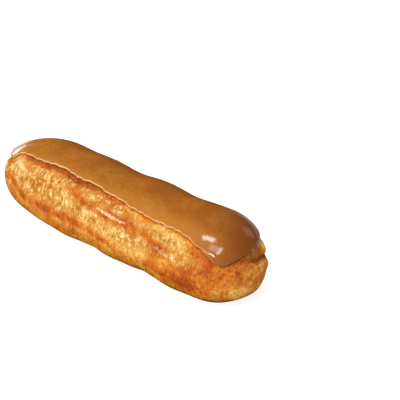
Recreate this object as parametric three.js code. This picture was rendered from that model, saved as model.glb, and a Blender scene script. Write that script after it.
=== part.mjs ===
// A coffee eclair: a long choux bun, browned on its ridges and crackled between them, with a coat of
// coffee fondant on its top. Two solids: the choux shell, and the icing that lies on it.
//
// Millimetres, +Z up. X runs along the bun, from its slim tail at -X to its blunt nose at +X, and -Y is
// the side that faces the viewer. The bun rests on the flat of its underside, at z = 0.

import * as THREE from "three";

// Driving dimensions of the bun
const LENGTH = 150;
const HALF_WIDTH = 21;
const BELLY_HEIGHT = 12; // height of the bun's widest line above what it rests on
const CROWN_RISE = 22.6; // from the widest line up to the top of the choux
const KEEL_DROP = 12.9; // from the widest line down to where the round underside would end
const TAIL_CAP = 35.4; // length of the rounded end at -X
const NOSE_CAP = 23.9; // length of the rounded end at +X
const CROWN_SQUARENESS = 2.2;
const KEEL_SQUARENESS = 2.3;

// Driving dimensions of the icing
const ICING_THICKNESS = 1.6;
const ICING_GAP = 0.4; // clearance between the icing and the choux under it
const ICING_TAIL_X = -70; // where the icing ends over the tail
const ICING_NOSE_X = 68.8; // where the icing ends over the nose
const ICING_TAIL_ARC = 24; // length of the outline's round end over the tail
const ICING_NOSE_ARC = 9;
const ICING_FRONT_WIDTH = 9.5; // from its spine to its edge on the viewer's side, near the tail
const ICING_BACK_WIDTH = 13.2; // and on the far side

// Fineness of the facets
const CELLS_ALONG = 70;
const CELLS_ACROSS = 16;
const ICING_STATIONS = 42; // along one long side of the icing's outline
const ICING_END_STEPS = 13; // round half of one end of it
const ICING_RINGS = 5; // from its edge to its spine
const RING_CROWDING = 1.6; // above 1, the rings lie closer together near the edge

// The rows of the icing's rounded edge, from below: each one's share of the way in to the spine, and its
// share of the icing's thickness.
const EDGE_ROWS = [
  [0.05, 0],
  [0, 0.35],
  [0.05, 0.9],
];

const HALF_LENGTH = LENGTH / 2;
const NOSE_START = HALF_LENGTH - NOSE_CAP;
const TAIL_START = -HALF_LENGTH + TAIL_CAP;

// A smooth hump of height 1 at middle, about spread wide each way.
const hump = (value, middle, spread) => Math.exp(-(((value - middle) / spread) ** 2));

// 0 below low, 1 above high, and smooth between.
const smoothStep = (value, low, high) => {
  const t = Math.min(1, Math.max(0, (value - low) / (high - low)));
  return t * t * (3 - 2 * t);
};

const mix = (from, to, share) => from + (to - from) * share;

// Slow swellings where the batter came out of the nozzle unevenly: [x, spread, amount].
const FRONT_SWELLINGS = [
  [-58, 10, -2.0],
  [-43, 9, -0.5],
  [-22, 9, 0.85],
  [-9, 4, 0.5],
  [-2, 3, -0.4],
  [9, 7, 0.8],
  [24, 4, -0.9],
  [44, 9, 0.3],
  [60, 8, -0.3],
];
const BACK_SWELLINGS = [
  [-19, 9, 0.8],
  [1, 7, -0.6],
  [18, 8, 0.6],
  [33, 7, -1.4],
  [52, 10, 1.4],
];
const CROWN_SWELLINGS = [
  [-50, 14, 0.3],
  [1, 9, -1.0],
  [30, 9, -0.4],
  [60, 10, -0.5],
];

const swellingAt = (swellings, x) =>
  swellings.reduce((sum, [middle, spread, amount]) => sum + amount * hump(x, middle, spread), 0);

// The bun's half width, towards the viewer or away, and its rise above the widest line, at x.
const halfWidthAt = (x, isFront) =>
  HALF_WIDTH + swellingAt(isFront ? FRONT_SWELLINGS : BACK_SWELLINGS, x);
const riseAt = (x) => CROWN_RISE + swellingAt(CROWN_SWELLINGS, x);

// How far the section at x has grown: 0 at either tip, 1 along the trunk.
function fullnessAt(x) {
  if (x > NOSE_START) return Math.sqrt(Math.max(0, 1 - ((x - NOSE_START) / NOSE_CAP) ** 2));
  if (x < TAIL_START) return Math.sqrt(Math.max(0, 1 - ((TAIL_START - x) / TAIL_CAP) ** 2));
  return 1;
}

// The bun's section at x, as a point on its rim: angle 0 points along +Y and a quarter turn up.
function sectionPoint(x, angle) {
  const across = Math.cos(angle);
  const upward = Math.sin(angle);
  const width = halfWidthAt(x, across < 0);
  const rise = upward >= 0 ? riseAt(x) : KEEL_DROP;
  const power = upward >= 0 ? CROWN_SQUARENESS : KEEL_SQUARENESS;
  const reach = (Math.abs(across / width) ** power + Math.abs(upward / rise) ** power) ** (-1 / power);
  return [reach * across, reach * upward];
}

// The bun's long profile is an arc over the nose, a straight trunk and an arc over the tail. This gives
// x and the fullness at a length run back from the nose's tip.
const NOSE_RUN = (Math.PI / 4) * (NOSE_CAP + HALF_WIDTH);
const TAIL_RUN = (Math.PI / 4) * (TAIL_CAP + HALF_WIDTH);
const TRUNK_RUN = NOSE_START - TAIL_START;
const WHOLE_RUN = NOSE_RUN + TRUNK_RUN + TAIL_RUN;

function profileAt(run) {
  if (run < NOSE_RUN) {
    const turn = ((run / NOSE_RUN) * Math.PI) / 2;
    return [NOSE_START + NOSE_CAP * Math.cos(turn), Math.sin(turn)];
  }
  if (run > NOSE_RUN + TRUNK_RUN) {
    const turn = (((run - NOSE_RUN - TRUNK_RUN) / TAIL_RUN) * Math.PI) / 2;
    return [TAIL_START - TAIL_CAP * Math.sin(turn), Math.cos(turn)];
  }
  return [NOSE_START - (run - NOSE_RUN), 1];
}

// The height of the plain crown above a point of the plan.
function crownHeight(x, y) {
  const fullness = fullnessAt(x);
  const share = Math.abs(y) / halfWidthAt(x, y < 0);
  const rest = fullness ** CROWN_SQUARENESS - share ** CROWN_SQUARENESS;
  return BELLY_HEIGHT + riseAt(x) * Math.max(0, rest) ** (1 / CROWN_SQUARENESS);
}

// The crown's outward normal above a point of the plan.
function crownNormal(x, y) {
  const step = 0.05; // small beside every form of the crown
  const slopeX = (crownHeight(x + step, y) - crownHeight(x - step, y)) / (2 * step);
  const slopeY = (crownHeight(x, y + step) - crownHeight(x, y - step)) / (2 * step);
  return new THREE.Vector3(-slopeX, -slopeY, 1).normalize();
}

// Where the icing ran out over its plain edge on the viewer's side, or drew back: [x, spread, amount].
const ICING_RUNS = [
  [-65, 4, 4.5],
  [-57, 3, -0.2],
  [-40, 10, 0.4],
  [-16, 8, 0.8],
  [-2, 7, 1.2],
  [38, 7, 0.35],
];

// The icing's width from its spine to its edge at x, towards the viewer or away, before its ends are
// rounded off. It widens in two steps towards the nose, and its edge is scalloped near the tail.
function icingWidth(x, isFront) {
  const firstStep = (isFront ? 3.3 : 1.2) * smoothStep(x, 0, 15);
  const secondStep = (isFront ? 2.9 : 0.6) * smoothStep(x, 36, 60);
  const scallops = 0.35 * Math.cos((x + 19) / 3.8) * (1 - 0.7 * smoothStep(x, 0, 20));
  const plain = isFront ? ICING_FRONT_WIDTH + swellingAt(ICING_RUNS, x) : ICING_BACK_WIDTH;
  return plain + firstStep + secondStep + scallops;
}

// How far the icing's outline is drawn in by its round ends at x: 1 along the trunk, 0 at either tip.
function icingEndShare(x) {
  const overNose = Math.max(0, x - (ICING_NOSE_X - ICING_NOSE_ARC)) / ICING_NOSE_ARC;
  const overTail = Math.max(0, ICING_TAIL_X + ICING_TAIL_ARC - x) / ICING_TAIL_ARC;
  return Math.max(overNose, overTail);
}

// Where a point of the plan lies between the icing's spine, 0, and its edge, 1.
const icingReach = (x, y) => Math.hypot(icingEndShare(x), y / icingWidth(x, y < 0));

// Ridges left by the nozzle's teeth, on the side that faces the viewer, -1, and on the far side, +1.
// Each has its crest's rise and spread, and its height up the side as [x, z] from tail to nose.
const RIDGES = [
  { side: -1, crest: 0.7, spread: 2.2, path: [[-62, 20], [-43, 15.7], [-15, 17.2], [24, 14], [60, 13]] },
  { side: -1, crest: 0.75, spread: 1.7, path: [[-22, 29], [-3, 25.4], [10, 26.1], [40, 24]] },
  { side: -1, crest: 0.6, spread: 1.6, path: [[-60, 26.8], [-52, 28.1], [-44, 28.3]] },
  { side: -1, crest: 0.35, spread: 2.6, path: [[-62, 9], [0, 8], [62, 7]] },
  { side: 1, crest: 0.7, spread: 2.2, path: [[-60, 22], [-20, 17], [20, 15.5], [60, 14]] },
  { side: 1, crest: 0.6, spread: 1.8, path: [[-44, 26], [-10, 24.5], [24, 24]] },
];

// A ridge's height up the side at x, by straight steps between its stations.
function pathHeight(path, x) {
  const last = path.length - 1;
  if (x <= path[0][0]) return path[0][1];
  if (x >= path[last][0]) return path[last][1];
  const next = path.findIndex(([station]) => station >= x);
  const [x0, z0] = path[next - 1];
  const [x1, z1] = path[next];
  return mix(z0, z1, smoothStep(x, x0, x1));
}

const RIDGE_FADE = 10; // length over which a ridge grows from the crust at either end
const RIDGE_SIDE = [8, 14]; // distance from the middle plane over which ridges appear

function ridgeRelief(x, y, z) {
  return RIDGES.reduce((sum, { side, crest, spread, path }) => {
    const fromTail = smoothStep(x, path[0][0] - RIDGE_FADE / 2, path[0][0] + RIDGE_FADE / 2);
    const lastX = path[path.length - 1][0];
    const fromNose = 1 - smoothStep(x, lastX - RIDGE_FADE / 2, lastX + RIDGE_FADE / 2);
    const onSide = smoothStep(side * y, ...RIDGE_SIDE);
    return sum + crest * fromTail * fromNose * onSide * hump(z, pathHeight(path, x), spread);
  }, 0);
}

// The fold at the nose, where the upper crust sank and the lower crust stayed out as a lip. A crease runs
// round the nose at the heights that its path gives as [y, z]. The lip lies under it and the sunk tongue
// over it. A valley, which leans, sets off the lobe behind the tongue. Under the fold the far cheek of the
// nose is flatter.
const FOLD_X = [58, 66]; // where the fold starts
const RAISED_REACH = [1, 1.4]; // distance from the icing over which the raised forms grow
const SUNK_REACH = [0.95, 1.25];
const CREASE_PATH = [[-6.5, 25], [4, 21.5], [13, 18.5]];
const CREASE = { depth: 1.9, spread: 1.9, yFrom: [-8, 0], yTo: [11, 16] };
const LIP = { rise: 0.9, under: 3.2, spread: 2.3, yFrom: [-7, 0], yTo: [6, 14] };
const TONGUE = { depth: 0.8, growth: 2.5, yFrom: [-6, -1], yTo: [4, 9] };
const VALLEY = { depth: 1.1, spread: 1.8, y: 6.4, lean: 0.4, leansFrom: 23, from: [-1, 2], to: [5, 8] };
const LOBE = { rise: 2.0, y: 11.5, ySpread: 4.2, height: 24.6, spread: 3.4 };
const CHEEK = { depth: 0.7, height: 9, spread: 6, xFrom: [60, 72], yFrom: [-2, 4] };

const inRange = (y, { yFrom, yTo }) => smoothStep(y, ...yFrom) * (1 - smoothStep(y, ...yTo));

function foldRelief(x, y, z, reach) {
  const over = z - pathHeight(CREASE_PATH, y);
  const crease = CREASE.depth * hump(over, 0, CREASE.spread) * inRange(y, CREASE);
  const lip = LIP.rise * hump(over, -LIP.under, LIP.spread) * inRange(y, LIP);
  const tongue = TONGUE.depth * smoothStep(over, 0, TONGUE.growth) * inRange(y, TONGUE);
  const valleyY = VALLEY.y + VALLEY.lean * (z - VALLEY.leansFrom);
  const overCrease = smoothStep(over, ...VALLEY.from) * (1 - smoothStep(over, ...VALLEY.to));
  const valley = VALLEY.depth * hump(y, valleyY, VALLEY.spread) * overCrease;
  const lobe = LOBE.rise * hump(y, LOBE.y, LOBE.ySpread) * hump(z, LOBE.height, LOBE.spread);
  const raised = smoothStep(reach, ...RAISED_REACH) * (lip + lobe);
  const sunk = smoothStep(reach, ...SUNK_REACH) * (crease + tongue + valley);
  const cheek = CHEEK.depth * hump(z, CHEEK.height, CHEEK.spread) * smoothStep(y, ...CHEEK.yFrom);
  return smoothStep(x, ...FOLD_X) * (raised - sunk) - smoothStep(x, ...CHEEK.xFrom) * cheek;
}

// The crust drew back under the icing's edge on the viewer's side, most of all from the tail to the
// middle.
const GROOVE_DEPTH = 0.35;
const GROOVE_DEEPENING = 0.75;
const GROOVE_REACH = 1.1; // where it lies, with the icing's edge at 1
const GROOVE_SPREAD = 0.09;

function edgeGroove(x, y, reach) {
  if (y > 0) return 0;
  const deepened = smoothStep(x, -58, -44) * (1 - smoothStep(x, -14, 6));
  return -(GROOVE_DEPTH + GROOVE_DEEPENING * deepened) * hump(reach, GROOVE_REACH, GROOVE_SPREAD);
}

// Shallow unevenness of the whole crust as two crossed waves, and the crags where it crackled.
const UNEVENNESS = 0.18;
const CRAG_RISE = 0.25;

const unevenness = (x, y, z) =>
  UNEVENNESS * (Math.sin(x / 3.1 + z / 4.7) + Math.sin(x / 5.3 - y / 3.7 + 1.3));

function crags(x, y, z) {
  const along = Math.sin(x / 1.15 + 0.8 * Math.sin(z / 2.3));
  const upward = Math.sin((z - 0.4 * y) / 1.4 + 0.6 * Math.sin(x / 2.7));
  return CRAG_RISE * along * upward;
}

// All relief of the crust above the plain bun. It fades out where the icing lies on the crust.
const ICED_REACH = [1, 1.22];

function crustRelief(x, y, z) {
  const isUnderside = z < BELLY_HEIGHT + 4; // below any icing
  const reach = isUnderside ? Infinity : icingReach(x, y);
  const fine = ridgeRelief(x, y, z) + unevenness(x, y, z) + crags(x, y, z);
  return smoothStep(reach, ...ICED_REACH) * fine + foldRelief(x, y, z, reach) + edgeGroove(x, y, reach);
}

// The choux shell. Its facets are the cells of a long box, blown up to the bun's form, so that no tip
// has a pole. Each corner of a cell is a direction from the bun's middle.
function makeShell() {
  const corners = new Map();
  const places = [];
  const triangles = [];
  const endRun = (CELLS_ACROSS / 2) * (WHOLE_RUN / (CELLS_ALONG + CELLS_ACROSS));
  const spans = [CELLS_ALONG, CELLS_ACROSS, CELLS_ACROSS];

  // The bun's plain surface where the box's corner (i, j, k) is blown up to.
  function plainPlace(steps) {
    const [u, v, w] = steps.map((step, axis) => Math.tan(((2 * step) / spans[axis] - 1) * (Math.PI / 4)));
    const fromNose = Math.atan2(Math.hypot(v, w), u) / (Math.PI / 4);
    const run =
      fromNose < 1
        ? fromNose * endRun
        : fromNose > 3
          ? WHOLE_RUN - (4 - fromNose) * endRun
          : mix(endRun, WHOLE_RUN - endRun, (fromNose - 1) / 2);
    const [x, fullness] = profileAt(run);
    const [y, z] = sectionPoint(x, Math.atan2(w, v));
    return new THREE.Vector3(x, fullness * y, BELLY_HEIGHT + fullness * z);
  }

  function cornerIndex(steps) {
    const key = steps.join();
    if (!corners.has(key)) {
      corners.set(key, places.length);
      places.push(plainPlace(steps));
    }
    return corners.get(key);
  }

  // One face of the box: axis is the way it looks, and the other two axes run round it in order.
  for (const axis of [0, 1, 2]) {
    const second = (axis + 1) % 3;
    const third = (axis + 2) % 3;
    for (const end of [0, spans[axis]])
      for (let j = 0; j < spans[second]; j++)
        for (let k = 0; k < spans[third]; k++) {
          const quad = [[0, 0], [1, 0], [1, 1], [0, 1]].map(([dj, dk]) => {
            const steps = [0, 0, 0];
            steps[axis] = end;
            steps[second] = j + dj;
            steps[third] = k + dk;
            return cornerIndex(steps);
          });
          if (end === 0) quad.reverse();
          triangles.push(quad[0], quad[1], quad[2], quad[0], quad[2], quad[3]);
        }
  }

  const plain = new THREE.BufferGeometry().setFromPoints(places).setIndex(triangles);
  plain.computeVertexNormals();
  const normals = plain.getAttribute("normal");
  const risen = places.map((place, i) => {
    const normal = new THREE.Vector3().fromBufferAttribute(normals, i);
    const moved = place.clone().addScaledVector(normal, crustRelief(place.x, place.y, place.z));
    moved.z = Math.max(0, moved.z); // the flat that it rests on
    return moved;
  });
  return new THREE.BufferGeometry().setFromPoints(risen).setIndex(triangles);
}

// The icing's outline in plan, once round: over the nose, back along the far side, over the tail, and
// forward along the viewer's side. Each station holds the edge and the point of the spine it closes on.
function icingOutline() {
  const noseCentre = ICING_NOSE_X - ICING_NOSE_ARC;
  const tailCentre = ICING_TAIL_X + ICING_TAIL_ARC;
  const stations = [];
  const addStation = (x, spineX, isFront) => {
    const shrink = Math.sqrt(Math.max(0, 1 - icingEndShare(x) ** 2));
    stations.push({
      edge: new THREE.Vector2(x, (isFront ? -1 : 1) * shrink * icingWidth(x, isFront)),
      spine: new THREE.Vector2(spineX, 0),
    });
  };
  const overEnd = (centre, arc, start) => {
    for (let i = 0; i < 2 * ICING_END_STEPS; i++) {
      const turn = start + (Math.PI * i) / (2 * ICING_END_STEPS);
      addStation(centre + arc * Math.cos(turn), centre, Math.sin(turn) < 0);
    }
  };
  const alongSide = (from, to, isFront) => {
    for (let i = 0; i < ICING_STATIONS; i++) {
      const x = mix(from, to, i / ICING_STATIONS);
      addStation(x, x, isFront);
    }
  };
  overEnd(noseCentre, ICING_NOSE_ARC, -Math.PI / 2);
  alongSide(noseCentre, tailCentre, false);
  overEnd(tailCentre, ICING_TAIL_ARC, Math.PI / 2);
  alongSide(tailCentre, noseCentre, true);
  return stations;
}

// A point over the plan at height lift above the plain crown, measured square to it.
function abovePlan(plan, lift) {
  const base = new THREE.Vector3(plan.x, plan.y, crownHeight(plan.x, plan.y));
  return base.addScaledVector(crownNormal(plan.x, plan.y), lift);
}

// The icing: an outer skin and an inner one, each a set of rings from the edge to the spine, joined by
// a rounded edge.
function makeIcing() {
  const stations = icingOutline();
  const count = stations.length;
  const places = [];
  const triangles = [];
  const ringShares = Array.from({ length: ICING_RINGS }, (_, ring) => (ring / ICING_RINGS) ** RING_CROWDING);
  const outerLift = ICING_GAP + ICING_THICKNESS;

  const addRing = (share, lift) => {
    const first = places.length;
    for (const { edge, spine } of stations) places.push(abovePlan(edge.clone().lerp(spine, share), lift));
    return first;
  };
  const join = (lower, upper) => {
    for (let i = 0; i < count; i++) {
      const next = (i + 1) % count;
      triangles.push(lower + i, lower + next, upper + next, lower + i, upper + next, upper + i);
    }
  };

  // From the inner skin's spine out to the edge, round it, and over the outer skin to its spine.
  const rings = [
    ...ringShares.slice(1).reverse().map((share) => addRing(share, ICING_GAP)),
    ...EDGE_ROWS.map(([share, rise]) => addRing(share, ICING_GAP + rise * ICING_THICKNESS)),
    ...ringShares.slice(1).map((share) => addRing(share, outerLift)),
  ];
  for (let i = 0; i + 1 < rings.length; i++) join(rings[i], rings[i + 1]);

  // The spine is one line of points, shared by both long sides, with one point for each round end.
  const closeOnSpine = (ring, lift, isOuter) => {
    const spine = [];
    const spineIndex = (x) => {
      const known = spine.find((point) => Math.abs(point.x - x) < 1e-6);
      if (known) return known.index;
      spine.push({ x, index: places.length });
      places.push(abovePlan(new THREE.Vector2(x, 0), lift));
      return places.length - 1;
    };
    for (let i = 0; i < count; i++) {
      const next = (i + 1) % count;
      const here = spineIndex(stations[i].spine.x);
      const there = spineIndex(stations[next].spine.x);
      const faces = [[ring + i, ring + next, there]];
      if (here !== there) faces.push([ring + i, there, here]);
      for (const [a, b, c] of faces) triangles.push(...(isOuter ? [a, b, c] : [a, c, b]));
    }
  };
  closeOnSpine(rings[rings.length - 1], outerLift, true);
  closeOnSpine(rings[0], ICING_GAP, false);
  return new THREE.BufferGeometry().setFromPoints(places).setIndex(triangles);
}

const chouxCrust = new THREE.MeshStandardMaterial({ color: 0xd9903a, roughness: 0.6, metalness: 0 });
const coffeeFondant = new THREE.MeshStandardMaterial({ color: 0xb06e2a, roughness: 0.3, metalness: 0 });

const shell = new THREE.Mesh(makeShell(), chouxCrust);
shell.name = "choux_shell";
const icing = new THREE.Mesh(makeIcing(), coffeeFondant);
icing.name = "coffee_icing";

// The eclair stands on the middle of its bottom: its box is centred on the origin in plan.
const bun = new THREE.Group().add(shell, icing);
const box = new THREE.Box3().setFromObject(bun);
bun.position.set(-(box.min.x + box.max.x) / 2, -(box.min.y + box.max.y) / 2, -box.min.z);
const eclair = new THREE.Group().add(bun);

export default eclair;
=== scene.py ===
# A coffee eclair: a long choux bun under a coat of coffee fondant.
# X runs along the bun from its slim tail to its blunt nose, -Y is the side that faces the viewer, and the
# bun rests at z = 0. Sizes are in millimetres, and become metres when a mesh is made.

import math

import bpy
import numpy as np
from mathutils import Matrix, Vector


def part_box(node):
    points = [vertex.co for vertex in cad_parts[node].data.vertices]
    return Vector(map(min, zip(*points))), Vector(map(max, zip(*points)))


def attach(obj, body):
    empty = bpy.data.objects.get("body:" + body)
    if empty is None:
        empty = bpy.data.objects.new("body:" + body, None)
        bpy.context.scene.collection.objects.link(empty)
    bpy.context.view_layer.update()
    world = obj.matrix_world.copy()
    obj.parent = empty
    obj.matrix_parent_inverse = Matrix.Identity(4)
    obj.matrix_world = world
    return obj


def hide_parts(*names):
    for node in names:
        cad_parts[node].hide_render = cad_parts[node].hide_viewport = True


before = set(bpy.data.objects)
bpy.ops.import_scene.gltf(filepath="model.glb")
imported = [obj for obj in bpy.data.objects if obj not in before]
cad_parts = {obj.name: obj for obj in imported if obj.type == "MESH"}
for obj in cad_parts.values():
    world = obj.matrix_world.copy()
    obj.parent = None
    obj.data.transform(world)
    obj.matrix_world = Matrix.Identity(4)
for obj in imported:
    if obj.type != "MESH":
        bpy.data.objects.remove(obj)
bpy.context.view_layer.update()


# The choux bun
# A hollow bun of choux paste, piped through a toothed nozzle and baked until it puffed up and browned.
# Its section is a rounded arch over a shallow keel, drawn in to a slim tail and a blunt nose.

MM = 0.001  # in metres
LENGTH = 150.0
HALF_WIDTH = 21.0
BELLY_HEIGHT = 12.0  # height of the widest line
CROWN_RISE = 22.6  # from the widest line up to the top
KEEL_DROP = 12.9  # and down to where the round underside would end
TAIL_CAP = 35.4  # length of each rounded end
NOSE_CAP = 23.9
CROWN_SQUARENESS = 2.2  # 2 would be an ellipse
KEEL_SQUARENESS = 2.3
NOSE_START = LENGTH / 2 - NOSE_CAP
TAIL_START = TAIL_CAP - LENGTH / 2

# Slow swellings where the batter came out unevenly: x, spread, amount.
FRONT_SWELLINGS = [
    (-58, 10, -2.0), (-43, 9, -0.5), (-22, 9, 0.85), (-9, 4, 0.5), (-2, 3, -0.4),
    (9, 7, 0.8), (24, 4, -0.9), (44, 9, 0.3), (60, 8, -0.3),
]
BACK_SWELLINGS = [(-19, 9, 0.8), (1, 7, -0.6), (18, 8, 0.6), (33, 7, -1.4), (52, 10, 1.4)]
CROWN_SWELLINGS = [(-50, 14, 0.3), (1, 9, -1.0), (30, 9, -0.4), (60, 10, -0.5)]


def hump(value, middle, spread):
    """A smooth hump of height 1 at middle, about spread wide each way."""
    return np.exp(-(((value - middle) / spread) ** 2))


def smooth_step(value, low, high):
    """0 below low, 1 above high, and smooth between."""
    share = np.clip((value - low) / (high - low), 0, 1)
    return share * share * (3 - 2 * share)


def swelling_at(swellings, x):
    return sum(amount * hump(x, middle, spread) for middle, spread, amount in swellings)


def half_width_at(x, is_front):
    """Half the bun's width at x, towards the viewer or away."""
    front, back = swelling_at(FRONT_SWELLINGS, x), swelling_at(BACK_SWELLINGS, x)
    return HALF_WIDTH + np.where(is_front, front, back)


def rise_at(x):
    return CROWN_RISE + swelling_at(CROWN_SWELLINGS, x)


def fullness_at(x):
    """How far the section at x has grown: 0 at either tip, 1 along the trunk."""
    drawn_in = np.maximum((x - NOSE_START) / NOSE_CAP, (TAIL_START - x) / TAIL_CAP)
    return np.sqrt(np.clip(1 - np.maximum(drawn_in, 0) ** 2, 0, 1))


def crown_height(x, y):
    """The height of the plain crown above a point of the plan."""
    share = np.abs(y) / half_width_at(x, y < 0)
    rest = fullness_at(x) ** CROWN_SQUARENESS - share**CROWN_SQUARENESS
    return BELLY_HEIGHT + rise_at(x) * np.maximum(rest, 0) ** (1 / CROWN_SQUARENESS)


# The icing's outline in plan comes here, because the crust is smooth under the icing.
ICING_TAIL_X = -70.0
ICING_NOSE_X = 68.8
ICING_TAIL_ARC = 24.0
ICING_NOSE_ARC = 9.0
ICING_FRONT_WIDTH = 9.5  # from its spine to its edge near the tail
ICING_BACK_WIDTH = 13.2
# Where it ran out or drew back: x, spread, amount.
ICING_RUNS = [(-65, 4, 4.5), (-57, 3, -0.2), (-40, 10, 0.4), (-16, 8, 0.8), (-2, 7, 1.2), (38, 7, 0.35)]


def icing_width(x, is_front):
    """From the icing's spine to its edge at x. It widens in two steps towards the nose."""
    first_step = np.where(is_front, 3.3, 1.2) * smooth_step(x, 0, 15)
    second_step = np.where(is_front, 2.9, 0.6) * smooth_step(x, 36, 60)
    scallops = 0.35 * np.cos((x + 19) / 3.8) * (1 - 0.7 * smooth_step(x, 0, 20))
    scallops = scallops + 0.16 * np.sin(x / 0.85 + 1.4 * np.sin(x / 3.1))
    plain = np.where(is_front, ICING_FRONT_WIDTH + swelling_at(ICING_RUNS, x), ICING_BACK_WIDTH)
    return plain + first_step + second_step + scallops


def icing_end_share(x):
    """How far the icing's round ends draw it in at x: 0 along the trunk, 1 at either tip."""
    over_nose = (x - (ICING_NOSE_X - ICING_NOSE_ARC)) / ICING_NOSE_ARC
    over_tail = (ICING_TAIL_X + ICING_TAIL_ARC - x) / ICING_TAIL_ARC
    return np.maximum(np.maximum(over_nose, over_tail), 0)


def icing_reach(x, y):
    """Where a point of the plan lies between the icing's spine, 0, and its edge, 1."""
    return np.hypot(icing_end_share(x), y / icing_width(x, y < 0))


ICING_LOWEST = BELLY_HEIGHT + 4
FAR_OUT = 9.0


def crust_reach(x, y, z):
    """icing_reach for the crust, which is far out of the icing's reach wherever it is low."""
    return np.where(z < ICING_LOWEST, FAR_OUT, icing_reach(x, y))


# Ridges left by the nozzle's teeth: side, rise of the crest, spread, and height up the side as x, z.
RIDGES = [
    (-1, 0.7, 2.2, [(-62, 20), (-43, 15.7), (-15, 17.2), (24, 14), (60, 13)]),
    (-1, 0.75, 1.7, [(-22, 29), (-3, 25.4), (10, 26.1), (40, 24)]),
    (-1, 0.6, 1.6, [(-60, 26.8), (-52, 28.1), (-44, 28.3)]),
    (-1, 0.35, 2.6, [(-62, 9), (0, 8), (62, 7)]),
    (1, 0.7, 2.2, [(-60, 22), (-20, 17), (20, 15.5), (60, 14)]),
    (1, 0.6, 1.8, [(-44, 26), (-10, 24.5), (24, 24)]),
]
RIDGE_FADE = 10.0  # length over which a ridge grows from the crust
RIDGE_SIDE = (8, 14)  # distance from the middle plane over which ridges appear


def path_height(path, x):
    """A ridge's height up the side at x, eased between its stations."""
    height = np.full_like(x, path[0][1], dtype=float)
    for (x0, z0), (x1, z1) in zip(path, path[1:]):
        height = np.where(x > x0, z0 + (z1 - z0) * smooth_step(x, x0, x1), height)
    return height


def ridge_crest(ridge, x, y, z, widened=1.0):
    """0 away from a ridge and 1 on its crest."""
    side, _, spread, path = ridge
    half = RIDGE_FADE / 2
    along = smooth_step(x, path[0][0] - half, path[0][0] + half)
    along = along * (1 - smooth_step(x, path[-1][0] - half, path[-1][0] + half))
    return along * smooth_step(side * y, *RIDGE_SIDE) * hump(z, path_height(path, x), spread * widened)


# The fold at the nose: a crease, whose height is given as y, z, with a lip under it, a sunk tongue over it
# and a lobe behind the tongue, which a valley sets off.
FOLD_X = (58, 66)  # from where it begins to where it is whole
CREASE_PATH = [(-6.5, 25), (4, 21.5), (13, 18.5)]
LIP_RISE = 0.9
LOBE_RISE = 2.0
CREASE_DEPTH = 2.0
TONGUE_DEPTH = 0.8
VALLEY_DEPTH = 1.2
NOSE_FLATTENING = 0.7


def fold_parts(x, y, z):
    """The crease, lip, tongue, valley and lobe, each 0 away from it and 1 at its middle."""
    over = z - path_height(CREASE_PATH, y)
    at_nose = smooth_step(x, *FOLD_X)
    crease = hump(over, 0, 1.0) * smooth_step(y, -8, 0) * (1 - smooth_step(y, 11, 16))
    lip = hump(over, -3.2, 2.3) * smooth_step(y, -7, 0) * (1 - smooth_step(y, 6, 14))
    tongue = smooth_step(over, 0, 1.5) * smooth_step(y, -6, -1) * (1 - smooth_step(y, 5, 7))
    valley = hump(y, 6.4 + 0.4 * (z - 23), 1.0) * smooth_step(over, -0.5, 1) * (1 - smooth_step(over, 5, 8))
    lobe = hump(y, 11.5, 4.2) * hump(z, 24.6, 3.4)
    return [at_nose * part for part in (crease, lip, tongue, valley, lobe)]


def flattened(x, y, z):
    """How much the nose is flattened under the fold on its far side."""
    return smooth_step(x, 60, 72) * smooth_step(y, -2, 4) * hump(z, 9, 6)


WAVE_HEIGHT = 0.18
GROOVE_DEPTH = 0.35  # beside the icing on the viewer's side
DEEPER_GROOVE = 0.75  # and how much more it sinks where the icing drew back


def crust_relief(x, y, z):
    """The relief of the crust above the plain bun, apart from its splits. It fades out under the icing."""
    reach = crust_reach(x, y, z)
    ridges = sum(ridge[1] * ridge_crest(ridge, x, y, z) for ridge in RIDGES)
    waves = WAVE_HEIGHT * (np.sin(x / 3.1 + z / 4.7) + np.sin(x / 5.3 - y / 3.7 + 1.3))
    crease, lip, tongue, valley, lobe = fold_parts(x, y, z)
    raised = smooth_step(reach, 1, 1.4) * (LIP_RISE * lip + LOBE_RISE * lobe)
    sunk = CREASE_DEPTH * crease + TONGUE_DEPTH * tongue + VALLEY_DEPTH * valley
    sunk = smooth_step(reach, 0.95, 1.25) * sunk + NOSE_FLATTENING * flattened(x, y, z)
    drawn_back = smooth_step(x, -58, -44) * (1 - smooth_step(x, -14, 6))
    groove = (GROOVE_DEPTH + DEEPER_GROOVE * drawn_back) * hump(reach, 1.1, 0.09)
    sunk = sunk + np.where(y < 0, groove, 0)
    return smooth_step(reach, 1, 1.22) * (ridges + waves) + raised - sunk


CELLS_ALONG = 330
CELLS_WIDE = 48
CELLS_HIGH = 84
# The cells are finest on the two sides: the box's corners lie at these heights round the section, in degrees.
BOX_CORNERS = [-90, -45, 45, 90]
SPREAD_CORNERS = [-90, -52, 66, 90]
NOSE_RUN = math.pi / 4 * (NOSE_CAP + HALF_WIDTH)
TAIL_RUN = math.pi / 4 * (TAIL_CAP + HALF_WIDTH)
TRUNK_RUN = NOSE_START - TAIL_START
WHOLE_RUN = NOSE_RUN + TRUNK_RUN + TAIL_RUN


def profile_at(run):
    """x and the fullness at a length run back from the nose's tip along the bun's long profile."""
    nose_turn = np.clip(run / NOSE_RUN, 0, 1) * math.pi / 2
    tail_turn = np.clip((run - NOSE_RUN - TRUNK_RUN) / TAIL_RUN, 0, 1) * math.pi / 2
    trunk = np.clip(run - NOSE_RUN, 0, TRUNK_RUN)
    x = NOSE_START + NOSE_CAP * np.cos(nose_turn) - trunk - TAIL_CAP * np.sin(tail_turn)
    return x, np.sin(nose_turn) * np.cos(tail_turn)


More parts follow.
